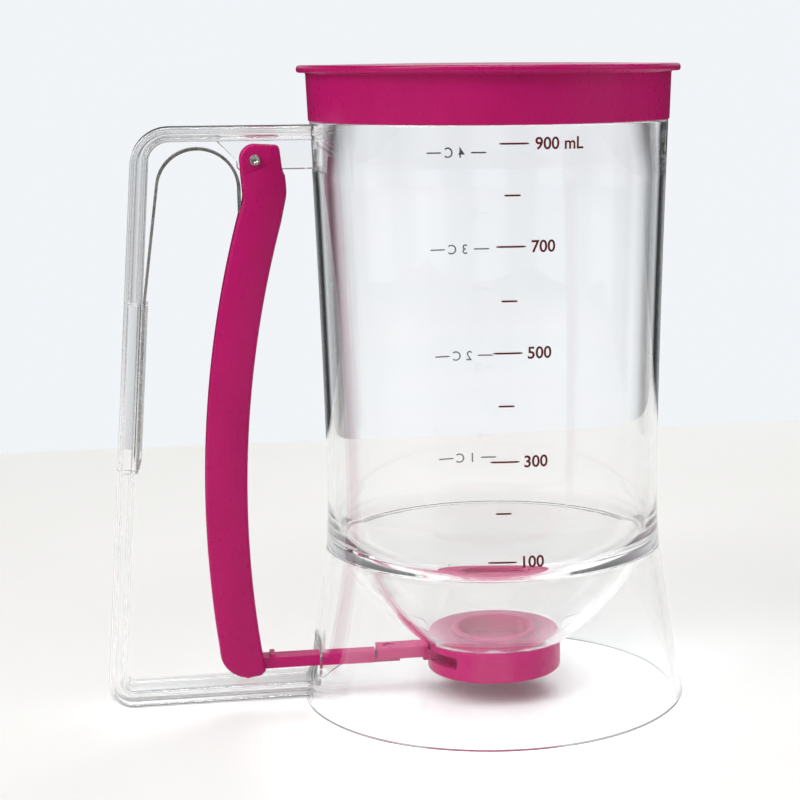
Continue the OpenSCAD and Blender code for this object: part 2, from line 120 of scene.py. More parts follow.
# The trigger and its pin
PIN_X = -(pin_lo.x + pin_hi.x) / 2
PIN_Z = (pin_lo.z + pin_hi.z) / 2
PIN_R = (pin_hi.z - pin_lo.z) / 2
PIN_L = pin_hi.y - pin_lo.y
TRIGGER_W = trigger_hi.y - trigger_lo.y
CHEEK_T = 1.6 * MM
FINGER_T = 1.8 * MM
BOW_R = 306.4 * MM
BOW_Z = 58 * MM
BOW_MID_X = 77.8 * MM
TRIGGER_D = 12 * MM
FOOT_Z = trigger_lo.z
FOOT_CORNER_R = 8 * MM
FOOT_RISE = 0.8 * MM
BOSS_R = trigger_hi.z - PIN_Z
HEAD_LOW_Z = PIN_Z - 13.8 * MM
HEAD_BACK_X = PIN_X + BOSS_R + 0.1 * MM
HEAD_FRONT_X = PIN_X - 7.9 * MM
WEB_LOW_Z = PIN_Z - 2.8 * MM

# The leaf spring
STRIP_T = 0.8 * MM
STRIP_W = spring_hi.y - spring_lo.y
BEND_R = 11.4 * MM
BEND_X = -(spring_hi.x) + BEND_R + STRIP_T / 2
BEND_Z = spring_hi.z - BEND_R - STRIP_T / 2
POCKET_TOP_Z = 119 * MM
POCKET_LOW_Z = spring_lo.z - 1 * MM

# The valve
CAP_R = cap_hi.x
CAP_LOW_Z = cap_lo.z
OUTLET_R = 10.8 * MM
GATE_R = gate_hi.x
GATE_T = 3.2 * MM
GATE_Z = gate_lo.z + GATE_T / 2
ROD_W = 5.6 * MM
ROD_T = 3.4 * MM
HINGE_X = 73 * MM
TAIL_END_X = -gate_lo.x
PEG_X = TAIL_END_X - 3.8 * MM
SLOT_GAP = 0.3 * MM


# ---------------------------------------------------------------- curves
def jug_r(z):
    """Outer radius of the jug at height z."""
    if z < WAIST_Z:
        return WAIST_R + (SEAM_R - WAIST_R) * ((z - WAIST_Z) / (SEAM_Z - WAIST_Z)) ** 2
    return WAIST_R + (SHOULDER_R - WAIST_R) * ((z - WAIST_Z) / (SHOULDER_Z - WAIST_Z)) ** FLARE


def skirt_r(z):
    """Outer radius of the skirt at height z."""
    t = (SEAM_Z - z) / SEAM_Z
    return SEAM_R + (BASE_R - SEAM_R) * (SKIRT_STRAIGHT * t + (1 - SKIRT_STRAIGHT) * t * t)


def spread(a, b, n):
    """n + 1 numbers from a to b."""
    return [a + (b - a) * i / n for i in range(n + 1)]


def arc(centre, r, a0, a1, n):
    """Points of a circular arc between two angles in radians."""
    return [(centre[0] + r * math.cos(a), centre[1] + r * math.sin(a)) for a in spread(a0, a1, n)]


def rounded(points, n=5):
    """A closed outline from points (x, z) or (x, z, radius): a corner with a radius becomes an arc."""
    out = []
    for i, p in enumerate(points):
        here = Vector(p[:2])
        radius = p[2] if len(p) > 2 else 0
        to_last = Vector(points[i - 1][:2]) - here
        to_next = Vector(points[(i + 1) % len(points)][:2]) - here
        turn = to_last.angle(to_next)
        if radius <= 0 or turn > math.radians(176):
            out.append(tuple(here))
            continue
        reach = min(radius / math.tan(turn / 2), 0.49 * to_last.length, 0.49 * to_next.length)
        radius = reach * math.tan(turn / 2)
        bisector = (to_last.normalized() + to_next.normalized()).normalized()
        centre = here + bisector * (radius / math.sin(turn / 2))
        start = here + to_last.normalized() * reach - centre
        end = here + to_next.normalized() * reach - centre
        a0 = math.atan2(start.y, start.x)
        sweep = (math.atan2(end.y, end.x) - a0 + math.pi) % (2 * math.pi) - math.pi
        out += arc(centre, radius, a0, a0 + sweep, n)
    return out


# ---------------------------------------------------------------- mesh helpers
def new_object(name, bm):
    """An object from a bmesh, its normals pointing out."""
    bmesh.ops.recalc_face_normals(bm, faces=bm.faces)
    mesh = bpy.data.meshes.new(name)
    bm.to_mesh(mesh)
    bm.free()
    obj = bpy.data.objects.new(name, mesh)
    bpy.context.scene.collection.objects.link(obj)
    return obj


def revolve(name, profile, turns=160):
    """A solid of revolution about Z from a closed profile of (radius, z) points."""
    bm = bmesh.new()
    rings = []
    for r, z in profile:
        if r < 1e-7:
            rings.append([bm.verts.new((0, 0, z))])
        else:
            rings.append([bm.verts.new((r * math.cos(a), r * math.sin(a), z))
                          for a in (2 * math.pi * i / turns for i in range(turns))])
    for i, ring in enumerate(rings):
        other = rings[(i + 1) % len(rings)]
        if len(ring) == 1 and len(other) == 1:
            continue
        for k in range(turns):
            corners = [ring[k % len(ring)], ring[(k + 1) % len(ring)],
                       other[(k + 1) % len(other)], other[k % len(other)]]
            bm.faces.new(list(dict.fromkeys(corners)))
    return new_object(name, bm)


def extrude(name, outline, y0, y1, bevel=0.0, steps=3):
    """A plate from a closed outline of (x, z) points, between y0 and y1, its edges rounded."""
    bm = bmesh.new()
    low = [bm.verts.new((x, y0, z)) for x, z in outline]
    high = [bm.verts.new((x, y1, z)) for x, z in outline]
    caps = [bm.faces.new(low), bm.faces.new(high)]
    for i in range(len(outline)):
        k = (i + 1) % len(outline)
        bm.faces.new((low[i], low[k], high[k], high[i]))
    if bevel:
        rims = [e for f in caps for e in f.edges]
        bmesh.ops.bevel(bm, geom=rims, offset=bevel, segments=steps, affect="EDGES", profile=0.5)
    return new_object(name, bm)


def plate(name, outline, width, bevel=0.0, steps=3):
    """As extrude, in the handle's own terms: (distance from the axis, height), centred on the handle."""
    return extrude(name, [(-x, z) for x, z in outline], -width / 2, width / 2, bevel, steps)


def lie_flat(obj):
    """Turns an extruded piece so that its outline's height runs along Y and its width along Z."""
    obj.data.transform(Matrix.Rotation(math.radians(-90), 4, "X"))
    return obj


def rod_y(name, x, z, r, length, bevel=0.0):
    """A round rod along Y at (x, z)."""
    turns = 48
    outline = arc((x, z), r, 0, 2 * math.pi * (1 - 1 / turns), turns - 1)
    return extrude(name, outline, -length / 2, length / 2, bevel)


def settle(obj):
    """Applies the object's modifiers to its mesh."""
    view = bpy.context.evaluated_depsgraph_get()
    mesh = bpy.data.meshes.new_from_object(obj.evaluated_get(view))
    old = obj.data
    obj.modifiers.clear()
    obj.data = mesh
    bpy.data.meshes.remove(old)
    return obj


def combine(obj, operation, *others):
    """Unites obj with other solids, or cuts them from it, and removes them."""
    for other in others:
        mod = obj.modifiers.new("combine", "BOOLEAN")
        mod.operation = operation
        mod.object = other
        mod.solver = "EXACT"
        settle(obj)
        bpy.data.objects.remove(other)
    return obj


def fuse(*parts):
    """Unites solids that are welded together and gives each its own faces back, so that clear plastic
    has no faces left inside its joints."""
    names = [part.name for part in parts]
    for i, part in enumerate(parts):
        for name in names:
            part.data.materials.append(bpy.data.materials.get(name) or bpy.data.materials.new(name))
        part.data.polygons.foreach_set("material_index", [i] * len(part.data.polygons))
    whole = combine(parts[0], "UNION", *parts[1:])
    pieces = []
    for i, name in enumerate(names):
        bm = bmesh.new()
        bm.from_mesh(whole.data)
        bmesh.ops.delete(bm, geom=[f for f in bm.faces if f.material_index != i], context="FACES")
        mesh = bpy.data.meshes.new(name)
        bm.to_mesh(mesh)
        bm.free()
        mesh.polygons.foreach_set("material_index", [0] * len(mesh.polygons))
        pieces.append(bpy.data.objects.new(name, mesh))
    bpy.data.objects.remove(whole)
    for name, piece in zip(names, pieces):
        bpy.context.scene.collection.objects.link(piece)
        piece.name = name
        bpy.data.materials.remove(bpy.data.materials[name])
    return pieces


def dress(obj, material, body, slot, *nodes):
    """Gives a finished piece its shading, material and body, and hides the nodes that it stands for. The
    normals are weighted by area, so that flat faces stay flat between their rounded edges. Its slot argument
    is not used."""
    obj.data.shade_smooth()
    obj.data.set_sharp_from_angle(angle=math.radians(35))
    weighted = obj.modifiers.new("weighted", "WEIGHTED_NORMAL")
    weighted.keep_sharp = True
    settle(obj)
    obj.data.materials.clear()
    obj.data.materials.append(material)
    if body:
        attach(obj, body)
    if nodes:
        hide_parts(*nodes)
    return obj


# ---------------------------------------------------------------- materials
class Shader:
    """A material's node tree, with a short call for each kind of node that is used here."""

    def __init__(self, name):
        self.material = bpy.data.materials.new(name)
        self.material.use_nodes = True
        self.tree = self.material.node_tree
        self.tree.nodes.clear()
        self.out = self.node("ShaderNodeOutputMaterial")

    def node(self, kind, **settings):
        n = self.tree.nodes.new(kind)
        for key, value in settings.items():
            setattr(n, key, value)
        return n

    def link(self, a, b):
        self.tree.links.new(a, b)

    def place(self):
        """Object coordinates in metres."""
        return self.node("ShaderNodeTexCoord").outputs["Object"]

    def stretched(self, scale):
        """Object coordinates with its own scale on each axis."""
        mapping = self.node("ShaderNodeMapping")
        self.link(self.place(), mapping.inputs["Vector"])
        mapping.inputs["Scale"].default_value = scale
        return mapping.outputs["Vector"]

    def noise(self, vector, scale, detail, roughness=0.5):
        n = self.node("ShaderNodeTexNoise")
        self.link(vector, n.inputs["Vector"])
        n.inputs["Scale"].default_value = scale
        n.inputs["Detail"].default_value = detail
        n.inputs["Roughness"].default_value = roughness
        return n.outputs["Fac"]

    def ranged(self, value, low, high, start=0.3, end=0.7):
        """value, from start to end, mapped to low to high."""
        n = self.node("ShaderNodeMapRange")
        self.link(value, n.inputs["Value"])
        n.inputs["From Min"].default_value = start
        n.inputs["From Max"].default_value = end
        n.inputs["To Min"].default_value = low
        n.inputs["To Max"].default_value = high
        return n.outputs["Result"]

    def ramp(self, value, stops):
        n = self.node("ShaderNodeValToRGB")
        self.link(value, n.inputs["Fac"])
        elements = n.color_ramp.elements
        while len(elements) < len(stops):
            elements.new(0.5)
        for element, (at, colour) in zip(elements, stops):
            element.position = at
            element.color = (*colour, 1)
        return n.outputs["Color"]

    def bump(self, height, strength, distance):
        n = self.node("ShaderNodeBump")
        self.link(height, n.inputs["Height"])
        n.inputs["Strength"].default_value = strength
        n.inputs["Distance"].default_value = distance
        return n.outputs["Normal"]

    def principled(self, **values):
        n = self.node("ShaderNodeBsdfPrincipled")
        for key, value in values.items():
            socket = n.inputs[key.replace("_", " ")]
            if isinstance(value, bpy.types.NodeSocket):
                self.link(value, socket)
            else:
                socket.default_value = value
        return n.outputs["BSDF"]

    def done(self, surface):
        self.link(surface, self.out.inputs["Surface"])
        return self.material


def clear_plastic():
    """Clear moulded styrene: a polished surface with slight waves and a fine haze of handling marks.
    Lamps shine through it, so that it doesn't darken what stands behind."""
    s = Shader("clear_plastic")
    waves = s.noise(s.stretched((1, 1, 0.35)), 55, 1.0)
    marks = s.noise(s.stretched((1, 1, 0.2)), 900, 4.0, 0.6)
    flow = s.noise(s.stretched((0.6, 0.6, 3.0)), 18, 2.0)
    tint = s.ramp(flow, [(0.3, (0.985, 0.995, 1.0)), (0.5, (1.0, 1.0, 1.0)), (0.7, (1.0, 0.99, 0.995))])
    normal = s.bump(waves, 0.015, 0.3 * MM)
    glass = s.principled(
        Base_Color=tint,
        Roughness=s.ranged(marks, 0.0, 0.02, 0.45, 0.8),
        IOR=1.57,
        Transmission_Weight=1.0,
        Normal=normal,
    )
    through = s.node("ShaderNodeBsdfTransparent")
    through.inputs["Color"].default_value = (0.93, 0.94, 0.95, 1)
    mix = s.node("ShaderNodeMixShader")
    s.link(s.node("ShaderNodeLightPath").outputs["Is Shadow Ray"], mix.inputs["Fac"])
    s.link(glass, mix.inputs[1])
    s.link(through.outputs["BSDF"], mix.inputs[2])
    return s.done(mix.outputs["Shader"])


def magenta_plastic():
    """Opaque magenta plastic with a semi-gloss skin: faint flow clouds, a fine grain and rub marks."""
    s = Shader("magenta_plastic")
    clouds = s.noise(s.stretched((1, 1, 0.6)), 60, 2.0)
    grain = s.noise(s.place(), 2600, 2.0)
    rubs = s.noise(s.stretched((1, 1, 0.6)), 800, 4.0, 0.65)
    colour = s.ramp(clouds, [(0.3, (0.40, 0.0025, 0.106)), (0.7, (0.44, 0.0040, 0.120))])
    normal = s.bump(grain, 0.08, 0.02 * MM)
    return s.done(s.principled(
        Base_Color=colour,
        Roughness=s.ranged(rubs, 0.27, 0.31, 0.35, 0.7),
        IOR=1.5,
        Specular_IOR_Level=0.22,
        Subsurface_Weight=0.05,
        Subsurface_Radius=(0.004, 0.0005, 0.0015),
        Normal=normal,
    ))


def spring_steel():
    """Bright rolled strip, brushed along its length, with a little dulling."""
    s = Shader("spring_steel")
    brushed = s.noise(s.stretched((1, 12, 1)), 700, 3.0, 0.6)
    dull = s.noise(s.place(), 160, 3.0)
    colour = s.ramp(dull, [(0.3, (0.30, 0.29, 0.28)), (0.7, (0.42, 0.41, 0.39))])
    return s.done(s.principled(
        Base_Color=colour,
        Metallic=1.0,
        Roughness=s.ranged(brushed, 0.2, 0.38),
        Normal=s.bump(brushed, 0.15, 0.02 * MM),
    ))


def ink(name, thin, full):
    """Screen-printed ink: a little uneven in colour and dull."""
    s = Shader(name)
    cover = s.noise(s.place(), 1500, 3.0)
    return s.done(s.principled(
        Base_Color=s.ramp(cover, [(0.35, full), (0.75, thin)]),
        Roughness=s.ranged(cover, 0.45, 0.65),
        Specular_IOR_Level=0.3,
    ))


CLEAR = clear_plastic()
MAGENTA = magenta_plastic()
STEEL = spring_steel()
INK_RED = ink("scale_ink_red", (0.13, 0.004, 0.008), (0.085, 0.002, 0.005))
INK_BLACK = ink("scale_ink_black", (0.045, 0.035, 0.04), (0.012, 0.009, 0.011))


# ---------------------------------------------------------------- the jug
def bowl_curves():
    """The bowl's underside from the floor to the seam, and its inside from the floor to the wall."""
    seam_in = SEAM_R - WALL
    dx, dz = seam_in - FLOOR_R, SEAM_Z - FLOOR_Z
    chord = math.hypot(dx, dz)
    r = chord * chord / (8 * BOWL_BULGE) + BOWL_BULGE / 2
    back = (r - BOWL_BULGE) / chord
    centre = ((seam_in + FLOOR_R) / 2 - dz * back, (SEAM_Z + FLOOR_Z) / 2 + dx * back)
    r_in = r - WALL
    blend_x = WAIST_R - WALL - BLEND_R
    blend_z = centre[1] - math.sqrt((r_in - BLEND_R) ** 2 - (blend_x - centre[0]) ** 2)
    blend_a = math.atan2(blend_z - centre[1], blend_x - centre[0])
    floor_a = -math.asin((centre[1] - FLOOR_Z - FLOOR_T) / r_in)
    under = arc(centre, r, math.atan2(FLOOR_Z - centre[1], FLOOR_R - centre[0]),
                math.atan2(SEAM_Z - centre[1], seam_in - centre[0]), 28)
    inside = arc(centre, r_in, floor_a, blend_a, 28) + arc((blend_x, blend_z), BLEND_R, blend_a, 0, 16)[1:]
    return under, inside, blend_z


def container():
    """The jug: a thin wall with a neck above and a bowl with a round outlet below."""
    under, inside, blend_z = bowl_curves()
    edge = 0.35 * MM
    outer = [(jug_r(z), z) for z in spread(SEAM_Z + edge, SHOULDER_Z - edge, 60)]
    wall_in = [(jug_r(z) - WALL, z) for z in spread(blend_z + 3 * MM, SHOULDER_Z - NECK_BLEND, 48)]
    neck_in = NECK_R - NECK_WALL
    shoulder = rounded([(SHOULDER_R, SHOULDER_Z - 3 * edge), (SHOULDER_R, SHOULDER_Z, edge),
                        (NECK_R, SHOULDER_Z, edge), (NECK_R, RIM_Z, NECK_WALL * 0.45),
                        (neck_in, RIM_Z, NECK_WALL * 0.45), (neck_in, SHOULDER_Z)])[1:-1]
    # The inside runs from the wall to the neck in a long soft curve
    wall_r = wall_in[-1][0]
    for t in spread(0, 1, 16)[:-1]:
        swell = 0.5 + 0.5 * math.cos(math.pi * t)
        shoulder.append((wall_r + (neck_in - wall_r) * swell, SHOULDER_Z - NECK_BLEND * t))
    seam = [(SEAM_R - edge, SEAM_Z), (SEAM_R - 0.3 * edge, SEAM_Z + 0.3 * edge)]
    floor = [(HOLE_R, FLOOR_Z + FLOOR_T), (HOLE_R, FLOOR_Z)]
    profile = under[1:] + seam + outer + shoulder + wall_in[::-1] + inside[::-1][:-1]
    profile += [(inside[0][0], FLOOR_Z + FLOOR_T)] + floor + [(FLOOR_R - 0.5 * MM, FLOOR_Z)]
    return revolve("clear_jug", profile, 224)


def base_skirt():
    """The flared foot, whose rim reaches a little way into the jug, with an arch for the pull rod."""
    edge = 0.35 * MM
    outer = [(skirt_r(z), z) for z in spread(edge * 2, SEAM_Z - edge, 30)]
    inner = [(skirt_r(z) - WALL, z) for z in spread(SEAM_Z - edge, edge * 2, 30)]
    rim_in, rim_out = SEAM_R - WALL + edge, SEAM_R - edge
    rim = [(SEAM_R - 0.3 * edge, SEAM_Z - 0.3 * edge), (rim_out, SEAM_Z), (rim_out, SEAM_Z + edge),
           (rim_in, SEAM_Z + edge), (rim_in, SEAM_Z)]
    foot_r = 0.7 * MM
    foot = arc((BASE_R - WALL + foot_r, foot_r), foot_r, -math.pi, -math.pi / 2, 4)
    heel = arc((skirt_r(0) - 0.8 * MM, foot_r), foot_r, -math.pi / 2, 0, 4)
    skirt = revolve("clear_skirt", outer + rim + inner + foot + heel, 224)
    low = FRAME_LOW_Z + BAR_T
    half = ARCH_W / 2
    hole = rounded([(-half, low, 1 * MM), (half, low, 1 * MM)]
                   + arc((0, ARCH_TOP_Z - half), half, 0, math.pi, 32))
    cutter = extrude("arch", hole, 0, BASE_R + 5 * MM)
    cutter.data.transform(Matrix.Rotation(math.radians(90), 4, "Z"))
    return combine(skirt, "DIFFERENCE", cutter)


# ---------------------------------------------------------------- the handle frame
GRIP_LEAN = math.atan2(GRIP_LOW_X - GRIP_TOP_X, FRAME_TOP_Z - FRAME_LOW_Z)


def grip_x(z):
    """Distance of the grip's back from the axis at height z."""
    return GRIP_LOW_X - (z - FRAME_LOW_Z) * math.tan(GRIP_LEAN)


def grip_front_x(z):
    """Distance of the grip's front from the axis at height z."""
    return grip_x(z) - BAR_T / math.cos(GRIP_LEAN)


def frame_path():
    """Stations of the frame's outer edge: a point, the direction that points into the bar, and how
    far the bar's inner half is moved, which makes the upper bar thinner."""
    end_x = WAIST_R / 2
    slide = BAR_T - TOP_BAR_T
    thinner = (-slide * math.tan(GRIP_LEAN), slide)
    stations = [((end_x, FRAME_LOW_Z), (0, 1), (0, 0))]
    for z, r, a0, a1, move in ((FRAME_LOW_Z + CORNER_LOW_R, CORNER_LOW_R, -math.pi / 2, GRIP_LEAN, (0, 0)),
                               (FRAME_TOP_Z - CORNER_TOP_R, CORNER_TOP_R, GRIP_LEAN, math.pi / 2, thinner)):
        centre_x = grip_x(z) - r / math.cos(GRIP_LEAN)
        for a in spread(a0, a1, 28):
            out = (math.cos(a), math.sin(a))
            stations.append(((centre_x + r * out[0], z + r * out[1]), (-out[0], -out[1]), move))
    stations.append(((end_x, FRAME_TOP_Z), (0, -1), (0, slide)))
    return stations


def bar_section():
    """The bar's section as (depth from the outer edge, y): two flanges on a web."""
    half = BAR_W / 2
    waist = half - GROOVE_D
    edge, root = 0.62 * MM, 0.6 * MM
    far = BAR_T - FLANGE_T
    return rounded([(0, -half, edge), (FLANGE_T, -half, edge), (FLANGE_T, -waist, root), (far, -waist, root),
                    (far, -half, edge), (BAR_T, -half, edge), (BAR_T, half, edge), (far, half, edge),
                    (far, waist, root), (FLANGE_T, waist, root), (FLANGE_T, half, edge), (0, half, edge)], 6)


def core():
    """A solid out to the middle of the jug's and the skirt's walls, to cut the frame with."""
    line = [(skirt_r(z) - WALL / 2, z) for z in spread(0, SEAM_Z, 24)]
    line += [(jug_r(z) - WALL / 2, z) for z in spread(SEAM_Z, SHOULDER_Z, 48)[1:]]
    return revolve("core", [(0, 0)] + line + [(0, SHOULDER_Z)], 224)


def spring_leg(gap):
    """Outline of the spring's straight leg in its pocket, grown by gap."""
    low, high = spring_lo.z, POCKET_TOP_Z
    x0, x1 = grip_front_x(low) - 0.1 * MM, grip_front_x(high) - 0.1 * MM
    return [(x0 + gap, low - gap), (x0 - STRIP_T - gap, low - gap),
            (x1 - STRIP_T - gap, high), (x1 + gap, high)]


def handle_frame():
    """The bars swept along the frame's path, with the web that holds the pin and the spring's pocket."""
    bm = bmesh.new()
    section = bar_section()
    rings = []
    for (x, z), (nx, nz), (mx, mz) in frame_path():
        inner = [float(d > BAR_T / 2) for d, y in section]
        rings.append([bm.verts.new((-(x + nx * d + h * mx), y, z + nz * d + h * mz))
                      for (d, y), h in zip(section, inner)])
    for ring, other in zip(rings, rings[1:]):
        for k in range(len(section)):
            n = (k + 1) % len(section)
            bm.faces.new((ring[k], ring[n], other[n], other[k]))
    bm.faces.new(rings[0])
    bm.faces.new(rings[-1])
    bars = new_object("clear_handle", bm)
    web_back = HEAD_BACK_X + 0.4 * MM
    knee = PIN_Z - 0.4 * MM
    high = FRAME_TOP_Z - TOP_BAR_T / 2
    web_outline = rounded([(WAIST_R / 2, WEB_LOW_Z), (web_back, WEB_LOW_Z, 0.6 * MM),
                           (web_back, knee, 1 * MM), (web_back + high - knee, high), (WAIST_R / 2, high)])
    web = plate("web", web_outline, WEB_W, 0.4 * MM)
    pocket_t = STRIP_T + 0.8 * MM
    low = POCKET_LOW_Z
    toe = low + 4 * MM
    pocket = plate("pocket", [(grip_x(low) - FLANGE_T, low), (grip_front_x(low) - pocket_t / 2, low),
                              (grip_front_x(toe) - pocket_t, toe),
                              (grip_front_x(POCKET_TOP_Z) - pocket_t, POCKET_TOP_Z),
                              (grip_x(POCKET_TOP_Z) - FLANGE_T, POCKET_TOP_Z)], STRIP_W + 3 * MM, 0.3 * MM)
    leg = spring_leg(0.1 * MM)
    slot = plate("slot", leg[:2] + [(leg[2][0], leg[2][1] + 1 * MM), (leg[3][0], leg[3][1] + 1 * MM)],
                 STRIP_W + 0.2 * MM)
    hole = rod_y("hole", -PIN_X, PIN_Z, PIN_R + 0.01 * MM, WEB_W + 2 * MM)
    combine(bars, "UNION", web, pocket)
    return combine(bars, "DIFFERENCE", slot, hole, core())


def clear_body():
    """The jug, the skirt and the handle frame, welded together."""
    nodes = ("container", "base_skirt", "handle_frame")
    for piece, node in zip(fuse(container(), base_skirt(), handle_frame()), nodes):
        dress(piece, CLEAR, "jug", "clear_plastic", node)


# ---------------------------------------------------------------- the lid
def lid():
    """The push-on cover: a flange with a rounded edge, a slightly domed top and a tapered skirt."""
    top, low = lid_hi.z, lid_lo.z
    flange_r = lid_hi.x
    skirt_low_r = SHOULDER_R + 0.35 * MM
    skirt_high_r = skirt_low_r + 0.5 * MM
    wall = 1.6 * MM
    top_t = 2 * MM
    crown = 0.5 * MM
    under = top - top_t - crown
    fillet = 0.6 * MM
    dome = [((flange_r - 1 * MM) * t, top - crown * t * t) for t in spread(1, 0, 20)]
    edge = rounded([(skirt_low_r - wall, low, 0.3 * MM), (skirt_low_r, low, 0.35 * MM),
                    (skirt_high_r, under, 0.5 * MM), (flange_r, under, 0.75 * MM),
                    (flange_r, under + top_t, 0.95 * MM), (flange_r * 0.9, top)], 6)
    ceiling = [(r, under) for r in spread(4 * MM, skirt_high_r - wall - fillet, 12)]
    profile = edge[:-1] + dome + [(0, under)] + ceiling + [(skirt_high_r - wall, under - fillet)]
    return dress(revolve("lid_cover", profile, 192), MAGENTA, "lid", "magenta_plastic", "lid")


# ---------------------------------------------------------------- the trigger
BOW_X = BOW_R - BOW_MID_X
BAND_OUT = BOW_R + TRIGGER_D / 2
BAND_IN = BOW_R - TRIGGER_D / 2


def band_x(r, z):
    """Distance from the axis of the trigger's curve with radius r, at height z."""
    return math.sqrt(r * r - (z - BOW_Z) ** 2) - BOW_X


def foot_centre():
    """Centre of the round corner at the back of the trigger's foot."""
    z = FOOT_Z + FOOT_CORNER_R
    return band_x(BAND_OUT, z) - FOOT_CORNER_R, z


def trigger_outline():
    """The trigger seen from the side, as (distance from the axis, height)."""
    foot_c = foot_centre()
    throat_z = HEAD_LOW_Z - 4 * MM
    back = [(band_x(BAND_OUT, z), z) for z in spread(foot_c[1], HEAD_LOW_Z - 1 * MM, 48)]
    front = [(band_x(BAND_IN, z), z) for z in spread(throat_z, FOOT_Z + FOOT_RISE, 52)]
    boss = arc((PIN_X, PIN_Z), BOSS_R, 0, math.radians(90), 14)
    top = PIN_Z + BOSS_R
    head = rounded([back[-1], (HEAD_BACK_X - 0.9 * MM, HEAD_LOW_Z + 3 * MM, 6 * MM)] + boss
                   + [(HEAD_FRONT_X + 1 * MM, top - 0.4 * MM, 0.9 * MM),
                      (HEAD_FRONT_X + 0.3 * MM, WEB_LOW_Z, 0.6 * MM),
                      (HEAD_FRONT_X - 0.4 * MM, WEB_LOW_Z - 1.6 * MM, 1.2 * MM),
                      (HEAD_FRONT_X - 0.8 * MM, HEAD_LOW_Z + 4.4 * MM, 12 * MM), front[0]])
    foot = rounded([front[-2], (front[-1][0], front[-1][1], 1.2 * MM), (foot_c[0], FOOT_Z)])[1:]
    foot += arc(foot_c, FOOT_CORNER_R, -math.pi / 2, 0, 14)[1:-1]
    return back[:-1] + head[:-1] + front[:-1] + foot


def crossing(outline, z):
    """Smallest and largest distance from the axis of an outline at height z."""
    found = []
    for (x0, z0), (x1, z1) in zip(outline, outline[1:] + outline[:1]):
        if (z0 - z) * (z1 - z) <= 0 and z0 != z1:
            found.append(x0 + (x1 - x0) * (z - z0) / (z1 - z0))
    return min(found), max(found)


def soft_bar(name, outline, width, radius, end_r, crown):
    """An upright bar with the given outline from the side, its long edges rounded with a radius and its
    sides crowned."""
    low, high = min(z for x, z in outline), max(z for x, z in outline)
    ends = [end_r * (1 - math.cos(a)) for a in spread(0, math.pi / 2, 10)]
    zs = [low + e for e in ends] + spread(low + end_r, high - end_r, 150)[1:-1]
    zs += [high - e for e in ends[::-1]]
    zs[0], zs[-1] = low + 0.001 * MM, high - 0.001 * MM
    bm = bmesh.new()
    rings = []
    for z in zs:
        near, far = crossing(outline, z)
        past_end = max(low + end_r - z, z - high + end_r, 0)
        inset = end_r - math.sqrt(max(end_r ** 2 - past_end ** 2, 0))
        half_x, half_y = (far - near) / 2, width / 2 - inset
        r = min(radius, 0.95 * half_x, 0.95 * half_y)
        ring = []
        for quarter in range(4):
            cx = (half_x - r) * (1 if quarter in (0, 3) else -1)
            cy = (half_y - crown - r) * (1 if quarter in (0, 1) else -1)
            ring += arc((cx, cy), r, quarter * math.pi / 2, (quarter + 1) * math.pi / 2, 6)
            if quarter in (0, 2):
                ring += [(cx * t, cy * (1 + crown / abs(cy) * (1 - t * t)) + math.copysign(r, cy))
                         for t in spread(1, -1, 12)[1:-1]]
        rings.append([bm.verts.new((-(near + far) / 2 - x, y, z)) for x, y in ring])
    for ring, other in zip(rings, rings[1:]):
        for k in range(len(ring)):
            n = (k + 1) % len(ring)
            bm.faces.new((ring[k], ring[n], other[n], other[k]))
    bm.faces.new(rings[0])
    bm.faces.new(rings[-1])
    return new_object(name, bm)


